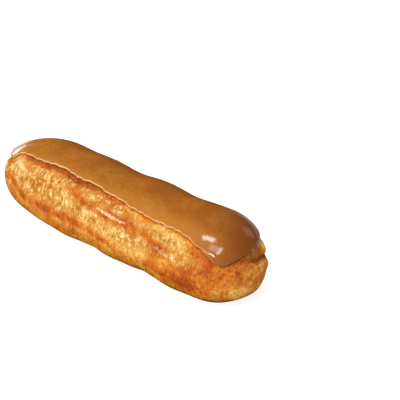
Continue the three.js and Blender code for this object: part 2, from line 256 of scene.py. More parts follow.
def section_point(x, angle):
    """A point on the rim of the bun's section at x: angle 0 points along +Y, a quarter turn up."""
    across, upward = np.cos(angle), np.sin(angle)
    width = half_width_at(x, across < 0)
    rise = np.where(upward >= 0, rise_at(x), KEEL_DROP)
    power = np.where(upward >= 0, CROWN_SQUARENESS, KEEL_SQUARENESS)
    reach = (np.abs(across / width) ** power + np.abs(upward / rise) ** power) ** (-1 / power)
    return reach * across, reach * upward


def blown_up_box():
    """The bun's plain surface as the cells of a long box blown up to its form, which has no poles."""
    spans = np.array([CELLS_ALONG, CELLS_WIDE, CELLS_HIGH])
    corners = []
    for axis in range(3):
        second, third = (axis + 1) % 3, (axis + 2) % 3
        j, k = np.meshgrid(np.arange(spans[second]), np.arange(spans[third]), indexing="ij")
        for end in (0, spans[axis]):
            quad = np.zeros(j.shape + (4, 3), int)
            quad[..., axis] = end
            for corner, (dj, dk) in enumerate([(0, 0), (1, 0), (1, 1), (0, 1)]):
                quad[..., corner, second] = j + dj
                quad[..., corner, third] = k + dk
            corners.append((quad if end else quad[..., ::-1, :]).reshape(-1, 4, 3))
    steps, quads = np.unique(np.concatenate(corners).reshape(-1, 3), axis=0, return_inverse=True)
    u, v, w = np.tan((2 * steps / spans - 1) * math.pi / 4).T
    end_cells = (CELLS_WIDE + CELLS_HIGH) / 4
    end_run = end_cells * WHOLE_RUN / (CELLS_ALONG + 2 * end_cells)
    from_nose = np.arctan2(np.hypot(v, w), u) / (math.pi / 4)
    run = np.interp(from_nose, [0, 1, 3, 4], [0, end_run, WHOLE_RUN - end_run, WHOLE_RUN])
    x, fullness = profile_at(run)
    turn = np.interp(np.degrees(np.arctan2(w, np.abs(v))), BOX_CORNERS, SPREAD_CORNERS)
    turn = np.where(v < 0, 180 - turn, turn)
    y, z = section_point(x, np.radians(turn))
    return np.stack([x, fullness * y, BELLY_HEIGHT + fullness * z], -1), quads.reshape(-1, 4)


def corner_normals(places, quads):
    """Each corner's outward normal, from the faces round it."""
    a, b, c, d = (places[quads[:, i]] for i in range(4))
    face_normals = np.cross(c - a, d - b)
    normals = np.zeros_like(places)
    for i in range(4):
        np.add.at(normals, quads[:, i], face_normals)
    return normals / np.linalg.norm(normals, axis=1, keepdims=True)


plain_bun, bun_quads = blown_up_box()
x, y, z = plain_bun.T
relief = crust_relief(x, y, z)
bun = plain_bun + corner_normals(plain_bun, bun_quads) * relief[:, None]
bun[:, 2] = np.maximum(bun[:, 2], 0)

# The model stands on the middle of its bottom, so the bun is shifted to the middle of its CAD box.
cad_low, cad_high = (np.array(corner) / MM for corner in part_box("choux_shell"))
to_frame = (cad_low + cad_high) / 2 - (bun.min(0) + bun.max(0)) / 2
to_frame[2] = 0


def make_mesh(name, places, faces, marks=()):
    """An object of these places, in millimetres, with smooth faces and a float attribute for each mark."""
    mesh = bpy.data.meshes.new(name)
    mesh.from_pydata(((places + to_frame) * MM).tolist(), [], faces)
    mesh.shade_smooth()
    for mark, values in marks:
        mesh.attributes.new(mark, "FLOAT", "POINT").data.foreach_set("value", values.astype(np.float32))
    made = bpy.data.objects.new(name, mesh)
    bpy.context.scene.collection.objects.link(made)
    return made


# Where the crust browned
# The oven browned the crust unevenly: the smooth ridges went orange-brown, the places that split open
# late stayed pale, and a strip that was bare under the icing's edge went red-brown.

# Patches on the viewer's side: x, z, spread along, spread up, amount.
BROWN_PATCHES = [
    (52, 20, 6, 4.0, 0.4), (61, 20, 6, 6.0, 0.1), (32, 21, 4, 2.5, 0.5), (70, 20, 3, 4.0, 0.22),
    (-66, 17, 4, 5.0, 0.2), (-40, 25, 5, 2.5, 0.2), (47, 13, 8, 3.0, 0.45), (-71, 20, 6, 9.0, 0.2),
    (-14, 11, 7, 3.0, 0.3), (-29, 10, 6, 2.5, 0.12),
]
PALE_PATCHES = [
    (36, 27.5, 8, 3.2, 0.71), (-52, 24, 9, 4.0, 0.23), (9, 19.5, 10, 3.5, 0.38), (-30, 22, 10, 4.0, 0.06),
    (67, 15, 5, 3.0, 0.23), (-22, 26, 6, 3.0, 0.06), (45, 22, 6, 2.0, 0.15), (-7, 22, 8, 3.0, 0.55),
    (22, 15, 8, 3.0, 0.46), (-54, 27.5, 8, 3.0, 0.38),
]
SPLIT_FIELDS = [
    (-38, 24, 30, 6.5, 1.0), (-20, 28, 16, 4.0, 0.6), (12, 20.5, 20, 4.0, 1.0), (36, 27, 13, 4.5, 1.0),
    (10, 29.5, 16, 2.4, 0.8), (46, 22, 9, 2.8, 0.6), (-62, 24, 9, 6.0, 0.9), (30, 10, 60, 3.0, 0.22),
    (-7, 22, 8, 2.6, 0.7), (22, 15, 7, 2.0, 0.6),
]
# Painted highlights along two crests, which are also glossier there: x, z, spread along, spread up, amount.
PAINTED_HIGHLIGHT_STREAKS = [(5, 26.2, 12, 0.8, 1.1), (-53, 27.4, 7, 1.1, 1.1)]
PLAIN_BROWN = 0.44
CREST_BROWN = 0.3
EDGE_BROWN = 0.16


def patches_at(patches, x, z):
    return sum(amount * hump(x, px, sx) * hump(z, pz, sz) for px, pz, sx, sz, amount in patches)


# The far side has the same patches, turned end for end and a little drawn in.
patch_x = np.where(y > 0, -0.9 * x + 6, x)
reach = crust_reach(x, y, z)
bare = np.clip((reach - 1) * icing_width(x, y < 0), 0, 20)  # how far out from the icing's edge
drawn_back = np.where(y < 0, smooth_step(x, -60, -52) * (1 - smooth_step(x, -10, 0)), 0.0)
# Every ridge but the lowest one on the viewer's side browned along its crest.
crests = np.clip(sum(ridge_crest(ridge, x, y, z, 1.15) for ridge in RIDGES[:3] + RIDGES[4:]), 0, 1)
browned = PLAIN_BROWN + CREST_BROWN * crests + EDGE_BROWN * np.where(y < 0, 1 - smooth_step(bare, 1, 5), 0)
browned = browned + patches_at(BROWN_PATCHES, patch_x, z) - patches_at(PALE_PATCHES, patch_x, z)
split_field = np.clip(patches_at(SPLIT_FIELDS, patch_x, z), 0, 1) * (1 - 0.9 * crests)
split_field = split_field * smooth_step(z, 9, 15) * smooth_step(reach, 1.04, 1.25)
split_field = split_field * (1 - smooth_step(x, 56, 66))
crease, lip, tongue, valley, lobe = fold_parts(x, y, z)

choux = make_mesh(
    "choux_crust",
    bun,
    bun_quads.tolist(),
    [
        ("browned", browned),
        ("split_field", split_field),
        ("bare", bare),
        ("drawn_back", drawn_back),
        ("streak_highlight_and_gloss", patches_at(PAINTED_HIGHLIGHT_STREAKS, patch_x, z)),
        ("glazed", np.clip(0.8 * tongue + 0.9 * crease + 0.5 * valley, 0, 1)),
    ],
)


# The splits in the crust
# As the bun puffed up, its skin tore round the girth between the nozzle's ridges, and thin threads of
# pale dough stretched across the tears. They are relief in the crust itself.


def wire(tree, kind, inputs=None, **settings):
    """A new node in tree, with each named input linked to a socket or set to a value."""
    made = tree.nodes.new(kind)
    for name, value in settings.items():
        setattr(made, name, value)
    for name, value in (inputs or {}).items():
        if isinstance(value, bpy.types.NodeSocket):
            tree.links.new(value, made.inputs[name])
        else:
            made.inputs[name].default_value = value
    return made


def maths(tree, operation, first, second=0.0, third=0.0):
    """The result of a Math node on up to three sockets or numbers."""
    return wire(tree, "ShaderNodeMath", {0: first, 1: second, 2: third}, operation=operation).outputs[0]


def vector_maths(tree, operation, first, second):
    """The result of a Vector Math node; SCALE takes a number as its second."""
    inputs = {0: first, "Scale" if operation == "SCALE" else 1: second}
    return wire(tree, "ShaderNodeVectorMath", inputs, operation=operation).outputs[0]


def eased(tree, value, low, high):
    """0 below low, 1 above high, and smooth between, in a node tree."""
    sizes = {"Value": value, "From Min": low, "From Max": high}
    return wire(tree, "ShaderNodeMapRange", sizes, interpolation_type="SMOOTHSTEP").outputs["Result"]


def faded(tree, value, low, high):
    """1 below low, 0 above high, and smooth between."""
    return maths(tree, "SUBTRACT", 1.0, eased(tree, value, low, high))


def noise_at(tree, vector, scale, seed, detail=2.0, roughness=0.5):
    """A noise node in four dimensions, the fourth being the seed."""
    inputs = {"Vector": vector, "W": seed, "Scale": scale, "Detail": detail, "Roughness": roughness}
    return wire(tree, "ShaderNodeTexNoise", inputs, noise_dimensions="4D").outputs


def wandering(tree, vector, scale, seed, amount):
    """vector led astray by a slow noise, by up to half of amount each way."""
    stray = vector_maths(tree, "SUBTRACT", noise_at(tree, vector, scale, seed)["Color"], (0.5, 0.5, 0.5))
    return vector_maths(tree, "ADD", vector, vector_maths(tree, "SCALE", stray, amount))


def drawn_out(tree, vector, step, stretch):
    """vector in units of step along the bun, and of stretch times as much round its girth."""
    parts = wire(tree, "ShaderNodeSeparateXYZ", {0: vector}).outputs
    round_girth = maths(tree, "MULTIPLY", step, stretch)
    scaled = {"X": maths(tree, "DIVIDE", parts["X"], step)}
    scaled.update({axis: maths(tree, "DIVIDE", parts[axis], round_girth) for axis in "YZ"})
    return wire(tree, "ShaderNodeCombineXYZ", scaled).outputs[0]


def thin_lines(tree, vector, scale, seed, width):
    """1 on the lines where a noise crosses its middle, easing to 0 at width from it."""
    value = noise_at(tree, vector, scale, seed, detail=1.0, roughness=0.4)["Fac"]
    return faded(tree, maths(tree, "ABSOLUTE", maths(tree, "SUBTRACT", value, 0.5)), 0.0, width)


splits = bpy.data.node_groups.new("crust splits", "GeometryNodeTree")
splits.is_modifier = True
SPLIT_SIZES = [
    ("Strand Spacing", "NodeSocketFloat", 1.9),
    ("Girth Stretch", "NodeSocketFloat", 1.7),
    ("Strand Width", "NodeSocketFloat", 0.13),
    ("Strand Rise", "NodeSocketFloat", 0.32),
    ("Tear Depth", "NodeSocketFloat", 0.3),
    ("Wander", "NodeSocketFloat", 3.0),
    ("Wrinkle Rise", "NodeSocketFloat", 1.7),
    ("Seed", "NodeSocketFloat", 4.0),
    ("Crust", "NodeSocketMaterial", None),
]
splits.interface.new_socket("Geometry", in_out="INPUT", socket_type="NodeSocketGeometry")
split_inputs = {
    name: splits.interface.new_socket(name, in_out="INPUT", socket_type=kind).identifier
    for name, kind, _ in SPLIT_SIZES
}
splits.interface.new_socket("Geometry", in_out="OUTPUT", socket_type="NodeSocketGeometry")

given = wire(splits, "NodeGroupInput").outputs
seed = given["Seed"]
place = vector_maths(splits, "SCALE", wire(splits, "GeometryNodeInputPosition").outputs[0], 1 / MM)
wandered = wandering(splits, place, 0.14, seed, given["Wander"])
woven = drawn_out(splits, wandered, given["Strand Spacing"], given["Girth Stretch"])

# The crust is torn where its split field is strong, with ragged borders.
field = wire(splits, "GeometryNodeInputNamedAttribute", {"Name": "split_field"}, data_type="FLOAT").outputs[0]
ragged = maths(splits, "SUBTRACT", noise_at(splits, woven, 0.7, seed)["Fac"], 0.5)
torn = eased(splits, maths(splits, "MULTIPLY_ADD", ragged, 0.9, field), 0.3, 0.6)

# There it sinks and wrinkles, and thick and thin strands cross it.
thick = thin_lines(splits, woven, 0.75, seed, given["Strand Width"])
thin = thin_lines(splits, woven, 1.35, maths(splits, "ADD", seed, 9.0), given["Strand Width"])
strand = maths(splits, "MAXIMUM", thick, maths(splits, "MULTIPLY", thin, 0.75))
strand = maths(splits, "MULTIPLY", strand, torn)
wrinkle = maths(splits, "SUBTRACT", noise_at(splits, woven, 1.1, seed)["Fac"], 0.5)
wrinkle = maths(splits, "MULTIPLY", wrinkle, torn)
risen = maths(splits, "MULTIPLY", wrinkle, given["Wrinkle Rise"])
risen = maths(splits, "MULTIPLY_ADD", strand, given["Strand Rise"], risen)
sunk = maths(splits, "MULTIPLY", torn, given["Tear Depth"])
risen = maths(splits, "MULTIPLY", maths(splits, "SUBTRACT", risen, sunk), MM)
offset = vector_maths(splits, "SCALE", wire(splits, "GeometryNodeInputNormal").outputs[0], risen)
kept = wire(
    splits,
    "GeometryNodeStoreNamedAttribute",
    {"Geometry": given["Geometry"], "Name": "wrinkle", "Value": wrinkle},
    data_type="FLOAT",
    domain="POINT",
).outputs[0]
kept = wire(splits, "GeometryNodeSetPosition", {"Geometry": kept, "Offset": offset}).outputs[0]
kept = wire(splits, "GeometryNodeRealizeInstances", {"Geometry": kept}).outputs[0]
kept = wire(splits, "GeometryNodeSetMaterial", {"Geometry": kept, "Material": given["Crust"]}).outputs[0]
wire(splits, "NodeGroupOutput", {"Geometry": kept})


# The crust's finish
# Baked choux: orange-brown and sandy on the ridges, and where it tore a weave of cream threads over gold
# hollows, which runs round the girth.


def paint(red, green, blue):
    """A colour given as it looks on a screen, 0 to 255, as the linear light that a shader takes."""
    return (*(((part / 255 + 0.055) / 1.055) ** 2.4 for part in (red, green, blue)), 1.0)


def mixed(tree, share, first, second, blend="MIX"):
    """The colour between first and second, or first blended with second, by share."""
    made = wire(tree, "ShaderNodeMix", data_type="RGBA", blend_type=blend)
    for name, value in (("Factor_Float", share), ("A_Color", first), ("B_Color", second)):
        socket = next(s for s in made.inputs if s.identifier == name)
        if isinstance(value, bpy.types.NodeSocket):
            tree.links.new(value, socket)
        else:
            socket.default_value = value
    return next(s for s in made.outputs if s.identifier == "Result_Color")


def covered(tree, colour, share, strength, cover, blend="MIX"):
    """colour with cover over it, by share times strength."""
    return mixed(tree, maths(tree, "MULTIPLY", share, strength), colour, cover, blend)


def ramp(tree, value, stops):
    """Colours eased along value, each stop a place from 0 to 1 and a colour."""
    made = wire(tree, "ShaderNodeValToRGB", {0: value})
    elements = made.color_ramp.elements
    while len(elements) < len(stops):
        elements.new(1.0)
    for element, (position, colour) in zip(elements, stops):
        element.position = position
        element.color = colour
    return made.outputs[0]


def new_finish(name):
    """A new material, its node tree, its shader and its object coordinates in millimetres."""
    material = bpy.data.materials.new(name)
    material.use_nodes = True
    tree = material.node_tree
    place = vector_maths(tree, "SCALE", wire(tree, "ShaderNodeTexCoord").outputs["Object"], 1 / MM)
    return material, tree, tree.nodes["Principled BSDF"], place


def mark_of(tree, name):
    return wire(tree, "ShaderNodeAttribute", attribute_name=name).outputs["Fac"]


def swayed(tree, value, *noises):
    """value with each noise, which lies about 0.5, added in its amount."""
    for amount, noise in noises:
        value = maths(tree, "MULTIPLY_ADD", maths(tree, "SUBTRACT", noise, 0.5), amount, value)
    return value


# From where it hardly browned to where it nearly burnt.
BROWNING = [
    (0.0, paint(246, 208, 130)),
    (0.28, paint(226, 163, 72)),
    (0.52, paint(212, 126, 44)),
    (0.78, paint(197, 96, 34)),
    (1.0, paint(158, 70, 28)),
]
# From the hollows of the tears, darkened as painted shade, to the pale tops of their threads.
TORN_DOUGH_AND_SHADE = [
    (0.0, paint(160, 98, 34)),
    (0.25, paint(196, 130, 52)),
    (0.5, paint(220, 158, 74)),
    (0.75, paint(240, 195, 116)),
    (1.0, paint(255, 232, 176)),
]
PIT_SHADE = paint(196, 172, 148)
FOOT_TONE_AND_SHADE = paint(214, 212, 158)
UNDERSIDE_SHADE = paint(168, 150, 130)
TAIL_TINT = paint(255, 250, 226)
STRIP_DARK = paint(108, 42, 14)
STRIP_RED = paint(190, 94, 38)
EDGE_SHADOW_LINE = paint(120, 54, 18)
FOLD_BROWN = paint(164, 94, 36)
STREAK_HIGHLIGHT = paint(255, 226, 176)
THREAD_STEP = 1.1  # between threads along the bun
THREAD_STRETCH = 3.0  # how many times longer they are round the girth
TEAR_STEP = 2.6
TEAR_STRETCH = 1.5
THREAD_WANDER = 2.8

crust_finish, tree, shader, place = new_finish("baked choux")
blotches = noise_at(tree, place, scale=0.16, seed=2.0)["Fac"]
mottling = noise_at(tree, place, scale=0.26, seed=6.0)["Fac"]
grit = noise_at(tree, place, scale=0.6, seed=5.0, detail=5.0, roughness=0.72)["Fac"]
fine_sand = noise_at(tree, place, scale=1.8, seed=7.0, roughness=0.6)["Fac"]
wandered = wandering(tree, place, 0.3, 1.0, THREAD_WANDER)
woven = drawn_out(tree, wandered, THREAD_STEP, THREAD_STRETCH)
weave = noise_at(tree, woven, scale=1.0, seed=3.0, detail=3.0, roughness=0.6)["Fac"]
threads = thin_lines(tree, woven, scale=0.8, seed=8.0, width=0.11)
tears = drawn_out(tree, wandered, TEAR_STEP, TEAR_STRETCH)
tears = noise_at(tree, tears, scale=1.0, seed=9.0, detail=3.0, roughness=0.6)["Fac"]

brown = swayed(tree, mark_of(tree, "browned"), (1.2, blotches), (0.9, mottling), (0.8, weave))
colour = ramp(tree, swayed(tree, brown, (2.3, grit), (1.2, fine_sand)), BROWNING)
split = swayed(tree, mark_of(tree, "split_field"), (1.0, tears), (0.8, weave), (0.8, mottling), (0.6, grit))
split = eased(tree, split, 0.1, 0.9)
paleness_and_shade = maths(tree, "MULTIPLY_ADD", maths(tree, "MULTIPLY", threads, mottling), 0.4, 0.37)
# The relief's wrinkles set the colour too: darker where they sink, as painted shade, and paler where they
# rise.
paleness_and_shade = maths(tree, "MULTIPLY_ADD", mark_of(tree, "wrinkle"), 1.4, paleness_and_shade)
paleness_and_shade = swayed(tree, paleness_and_shade, (1.8, weave), (1.2, tears), (0.9, grit), (0.7, fine_sand), (1.1, mottling))
colour = covered(tree, colour, split, 0.92, ramp(tree, paleness_and_shade, TORN_DOUGH_AND_SHADE))

# Painted shade in pits all over, where the bump is lowest, a duller foot darkened with painted shade where
# the crust turns under, and a deeper gold at the tail.
pit_shade = faded(tree, swayed(tree, fine_sand, (0.8, grit)), 0.36, 0.5)
colour = covered(tree, colour, pit_shade, 0.7, PIT_SHADE, "MULTIPLY")
along, _, upward = wire(tree, "ShaderNodeSeparateXYZ", {0: place}).outputs
# The foot is duller and darker, and the underside darker still: painted shade low on the bun.
foot_tone_and_shade = faded(tree, swayed(tree, upward, (8.0, mottling)), 8.0, 14.0)
colour = mixed(tree, foot_tone_and_shade, colour, FOOT_TONE_AND_SHADE, "MULTIPLY")
colour = mixed(tree, faded(tree, upward, 6.0, 9.0), colour, UNDERSIDE_SHADE, "MULTIPLY")
colour = mixed(tree, faded(tree, along, -72.0, -60.0), colour, TAIL_TINT, "MULTIPLY")

# The strip that the icing's edge left bare, ragged below, with a painted shadow line close to the icing,
# under its rim.
strip = maths(tree, "MULTIPLY_ADD", mark_of(tree, "drawn_back"), 1.7, 0.1)
strip = maths(tree, "SUBTRACT", strip, mark_of(tree, "bare"))
strip = swayed(tree, strip, (3.0, weave), (3.0, mottling), (2.0, grit))
strip = maths(tree, "MULTIPLY", eased(tree, strip, -0.5, 0.6), mark_of(tree, "drawn_back"))
speckled = eased(tree, swayed(tree, grit, (0.6, weave)), 0.4, 0.6)
colour = covered(tree, colour, strip, 0.75, mixed(tree, speckled, STRIP_DARK, STRIP_RED))
# A painted shadow line under the icing's rim.
colour = covered(tree, colour, faded(tree, mark_of(tree, "bare"), 0.1, 0.55), 0.35, EDGE_SHADOW_LINE)

# The fold is browner and smoother, and two crests carry a broken painted highlight, where they are also
# glossier.
colour = mixed(tree, mark_of(tree, "glazed"), colour, FOLD_BROWN)
highlight_and_gloss = eased(tree, swayed(tree, mark_of(tree, "streak_highlight_and_gloss"), (2.4, grit), (1.8, weave)), 0.5, 0.9)
highlight_and_gloss = maths(tree, "MULTIPLY", highlight_and_gloss, eased(tree, mark_of(tree, "streak_highlight_and_gloss"), 0.1, 0.5))
colour = covered(tree, colour, highlight_and_gloss, 0.6, STREAK_HIGHLIGHT)
tree.links.new(colour, shader.inputs["Base Color"])
roughness = maths(tree, "MULTIPLY_ADD", grit, 0.3, 0.4)
roughness = maths(tree, "MULTIPLY_ADD", mark_of(tree, "glazed"), -0.15, roughness)
roughness = maths(tree, "MULTIPLY_ADD", highlight_and_gloss, -0.2, roughness)
tree.links.new(roughness, shader.inputs["Roughness"])
shader.inputs["Specular IOR Level"].default_value = 0.0
height = maths(tree, "MULTIPLY_ADD", fine_sand, 0.08, maths(tree, "MULTIPLY", grit, 0.3))
woven_height = maths(tree, "MULTIPLY", maths(tree, "MULTIPLY_ADD", tears, 1.6, weave), split)
height = maths(tree, "MULTIPLY_ADD", woven_height, 0.2, height)
bump = wire(tree, "ShaderNodeBump", {"Height": height, "Distance": MM, "Strength": 1.0}).outputs[0]
tree.links.new(bump, shader.inputs["Normal"])


def settle(obj, tree, sizes, identifiers):
    """Runs tree on obj with these sizes, and keeps the result as obj's plain mesh."""
    modifier = obj.modifiers.new(tree.name, "NODES")
    modifier.node_group = tree
    for name, value in sizes.items():
        modifier[identifiers[name]] = value
    evaluated = obj.evaluated_get(bpy.context.evaluated_depsgraph_get())
    plain = bpy.data.meshes.new_from_object(evaluated)
    obj.modifiers.remove(modifier)
    obj.data = plain


split_sizes = {name: size for name, _, size in SPLIT_SIZES}
split_sizes["Crust"] = crust_finish
settle(choux, splits, split_sizes, split_inputs)


def keep_inside(obj, low, high):
    """Draws obj in to the box from low to high where its relief stands proud of it."""
    places = np.empty(len(obj.data.vertices) * 3, np.float32)
    obj.data.vertices.foreach_get("co", places)
    places = places.reshape(-1, 3)
    low, high = np.array(low), np.array(high)
    middle = (low + high) / 2
    spread = np.abs(places - middle).max(0)
    places = middle + (places - middle) * np.minimum(1, (high - middle) / spread)
    places[:, 2] = np.maximum(places[:, 2], 0)
    obj.data.vertices.foreach_set("co", places.astype(np.float32).ravel())
    obj.data.update()


keep_inside(choux, *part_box("choux_shell"))
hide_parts("choux_shell")
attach(choux, "root")


# The coffee icing
# Poured fondant, coffee brown and satin. The bun's top was dipped in it, so it is an even coat with a
# rounded rim, which hangs lower where it ran down the side.

# The icing's underside, its top and the foot of its rim, all above the plain crown.
ICING_GAP = 0.4
ICING_TOP = 2.0
RIM_LOWEST = 0.12
BEAD = 0.8  # how far in from the edge the rim is rounded
UNDERSIDE_START = 1.05 * BEAD
SIDE_STATIONS = 200
END_STEPS = 36
INNER_ROWS = 8  # round the icing on its underside, over its rim, and on its outside
BEAD_ROWS = 14
OUTER_ROWS = 46
INNER_CLOSENESS = 1.6  # above 1 the rows lie closer together near the rim
OUTER_CLOSENESS = 1.25
NOSE_CENTRE = ICING_NOSE_X - ICING_NOSE_ARC
TAIL_CENTRE = ICING_TAIL_X + ICING_TAIL_ARC


def crown_normal(x, y):
    """The crown's outward normal above a point of the plan."""
    step = 0.05
    slope_x = (crown_height(x + step, y) - crown_height(x - step, y)) / (2 * step)
    slope_y = (crown_height(x, y + step) - crown_height(x, y - step)) / (2 * step)
    normal = np.stack([-slope_x, -slope_y, np.ones_like(slope_x)], -1)
    return normal / np.linalg.norm(normal, axis=-1, keepdims=True)


def icing_outline():
    """The outline in plan, once round from the nose, and the x at which each station meets the spine."""
    turn = np.pi * np.arange(2 * END_STEPS) / (2 * END_STEPS)
    side = np.arange(SIDE_STATIONS) / SIDE_STATIONS
    to_tail = NOSE_CENTRE + (TAIL_CENTRE - NOSE_CENTRE) * side
    to_nose = TAIL_CENTRE + (NOSE_CENTRE - TAIL_CENTRE) * side
    x = np.concatenate(
        [
            NOSE_CENTRE + ICING_NOSE_ARC * np.cos(turn - np.pi / 2),
            to_tail,
            TAIL_CENTRE + ICING_TAIL_ARC * np.cos(turn + np.pi / 2),
            to_nose,
        ]
    )
    is_front = np.concatenate(
        [turn < np.pi / 2, np.zeros(SIDE_STATIONS, bool), turn > np.pi / 2, np.ones(SIDE_STATIONS, bool)]
    )
    shrink = np.sqrt(np.clip(1 - icing_end_share(x) ** 2, 0, 1))
    y = np.where(is_front, -1, 1) * shrink * icing_width(x, is_front)
    return np.stack([x, y], -1), np.clip(x, TAIL_CENTRE, NOSE_CENTRE)


def icing_waves(x, y):
    """How unevenly the icing settled."""
    return 0.14 * np.sin(x / 7.3 + 0.6 * np.sin(y / 5)) + 0.1 * np.sin(x / 3.9 - y / 4.3 + 2)


def above_plan(plan, lift, outside):
    """Places over the plan at this lift above the plain crown, with the icing's unevenness on its outside."""
    px, py = plan.T
    lift = lift + outside * icing_waves(px, py)
    base = np.stack([px, py, crown_height(px, py)], -1)
    return base + crown_normal(px, py) * lift[:, None]


outline, spine_x = icing_outline()
spine = np.stack([spine_x, np.zeros_like(spine_x)], -1)
span = np.linalg.norm(outline - spine, axis=1)

# Each row goes once round: its way in from the outline, its lift, how far it is on the outside, how near
# it is to the rim's line of thin fondant and painted highlight, and how far below the rim's top.
rows = []
for share in np.linspace(1, 0, INNER_ROWS, endpoint=False)[1:]:
    inward = np.maximum(share**INNER_CLOSENESS * span, UNDERSIDE_START)
    rows.append((inward, ICING_GAP, 0.0, 0.0, 1.0))
for turn in np.linspace(-np.pi / 2, np.pi / 2, BEAD_ROWS):
    inward = BEAD * (1 - np.cos(turn))
    outside = 0.5 + 0.5 * np.sin(turn)
    lift = RIM_LOWEST + (ICING_TOP - RIM_LOWEST) * outside
    rows.append((inward, lift, outside, hump(turn, 0.25, 0.45), 1 - smooth_step(turn, 0.5, 1.4)))
for share in (np.arange(1, OUTER_ROWS) / OUTER_ROWS) ** OUTER_CLOSENESS:
    rows.append((BEAD + share * (span - BEAD), ICING_TOP, 1.0, 0.0, 0.0))

# The rim is marked where it thinned and carries a painted highlight line, along the side, and where it lost
# its shine, round the nose.
outline_x, outline_y = outline.T
thin_sides_and_highlight = smooth_step(outline_x, -66, -60) * (1 - smooth_step(outline_x, 46, 56))
thin_sides_and_highlight = thin_sides_and_highlight * (1 - smooth_step(outline_y, -2, 0))
dull_nose = smooth_step(outline_x, 57, 60) * (1 - smooth_step(outline_y, 3, 7))
icing_places, icing_faces, thin_rim_and_highlight, dull_rim = [], [], [], []
for inward, lift, outside, on_rim_line, below_rim in rows:
    plan = outline + (spine - outline) * (inward / span)[:, None]
    icing_places.append(above_plan(plan, lift, outside))
    thin_rim_and_highlight.append(on_rim_line * thin_sides_and_highlight)
    dull_rim.append(below_rim * dull_nose)
count = len(outline)
ring = np.arange(count)
after = (ring + 1) % count
for row in range(len(rows) - 1):
    low, high = row * count, (row + 1) * count
    icing_faces += np.stack([low + ring, low + after, high + after, high + ring], -1).tolist()

# The spine is one line of points shared by both long sides, with one point for each round end.
spine_stations, spine_index = np.unique(np.round(spine_x, 6), return_inverse=True)
spine_plan = np.stack([spine_stations, 0 * spine_stations], -1)
for first, lift, outside in ((0, ICING_GAP, 0.0), ((len(rows) - 1) * count, ICING_TOP, 1.0)):
    start = sum(len(block) for block in icing_places)
    icing_places.append(above_plan(spine_plan, lift, outside))
    thin_rim_and_highlight.append(0 * spine_stations)
    dull_rim.append(0 * spine_stations)
    for i in range(count):
        here, there = start + spine_index[i], start + spine_index[(i + 1) % count]
        face = [first + i, first + (i + 1) % count, there] + ([here] if here != there else [])
        icing_faces.append(face if outside else face[::-1])

icing = make_mesh(
    "coffee_fondant_coat",
    np.concatenate(icing_places),
    icing_faces,
    [("thin_rim_and_highlight", np.concatenate(thin_rim_and_highlight)), ("dull_rim", np.concatenate(dull_rim))],
)

COFFEE_DARK = paint(164, 92, 32)
COFFEE_LIGHT = paint(178, 112, 43)
COFFEE_GRAIN = paint(158, 90, 30)
NOSE_COFFEE_AND_SHADE = paint(136, 70, 28)
FAR_SIDE_SHADE = paint(138, 80, 32)
EDGE_COFFEE_AND_SHEEN = paint(188, 120, 50)
THIN_FONDANT_AND_HIGHLIGHT = paint(255, 216, 150)

icing_finish, tree, shader, place = new_finish("coffee fondant")
along, across, _ = wire(tree, "ShaderNodeSeparateXYZ", {0: place}).outputs
cloud = noise_at(tree, place, scale=0.09, seed=3.0, detail=3.0)["Fac"]
grain = noise_at(tree, place, scale=0.5, seed=1.0, detail=3.0, roughness=0.6)["Fac"]
colour = mixed(tree, eased(tree, cloud, 0.35, 0.65), COFFEE_DARK, COFFEE_LIGHT)
colour = covered(tree, colour, eased(tree, grain, 0.4, 0.7), 0.7, COFFEE_GRAIN)
# Darker over the nose, where the fondant ran thicker, with painted shade on the end turned from the light.
colour = covered(tree, colour, eased(tree, along, 44.0, 68.0), 0.9, NOSE_COFFEE_AND_SHADE)
# Painted shade on the far side of the icing.
colour = covered(tree, colour, eased(tree, across, 3.0, 13.0), 0.7, FAR_SIDE_SHADE)
# Lighter near the front edge, where the fondant is thinner, with a painted sheen there too.
near_edge_sheen = maths(tree, "MULTIPLY", faded(tree, across, -12.0, -5.0), faded(tree, along, 44.0, 74.0))
colour = covered(tree, colour, near_edge_sheen, 0.7, EDGE_COFFEE_AND_SHEEN)
# Paler thin fondant along the rim, which is also a painted highlight line.
colour = covered(tree, colour, mark_of(tree, "thin_rim_and_highlight"), eased(tree, grain, 0.25, 0.45), THIN_FONDANT_AND_HIGHLIGHT)
tree.links.new(colour, shader.inputs["Base Color"])

# It shines over the nose, along its thin rim and at the tip of the tail. The rest is satin, and so is the
# rim round the nose.
towards_viewer = maths(tree, "MULTIPLY_ADD", eased(tree, across, -4.0, 8.0), -0.6, 1.0)
gloss = maths(tree, "MULTIPLY", eased(tree, along, 48.5, 51.5), towards_viewer)
gloss = maths(tree, "MAXIMUM", gloss, maths(tree, "MULTIPLY", mark_of(tree, "thin_rim_and_highlight"), 0.8))
gloss = maths(tree, "MAXIMUM", gloss, faded(tree, along, -66.0, -58.0))
gloss = maths(tree, "MULTIPLY", gloss, maths(tree, "SUBTRACT", 1.0, mark_of(tree, "dull_rim")))
gloss = maths(tree, "MULTIPLY_ADD", gloss, 0.8, 0.05)
far_side = maths(tree, "MULTIPLY", eased(tree, across, 3.0, 9.0), faded(tree, along, 48.0, 58.0))
gloss = maths(tree, "MULTIPLY", gloss, maths(tree, "SUBTRACT", 1.0, far_side))
tree.links.new(gloss, shader.inputs["Coat Weight"])
shader.inputs["Coat Roughness"].default_value = 0.11
shader.inputs["Coat IOR"].default_value = 1.45
shader.inputs["Roughness"].default_value = 0.42
shader.inputs["Specular IOR Level"].default_value = 0.0
height = maths(tree, "MULTIPLY", grain, 0.05)
bump = wire(tree, "ShaderNodeBump", {"Height": height, "Distance": MM, "Strength": 1.0}).outputs[0]
tree.links.new(bump, shader.inputs["Normal"])
tree.links.new(bump, shader.inputs["Coat Normal"])

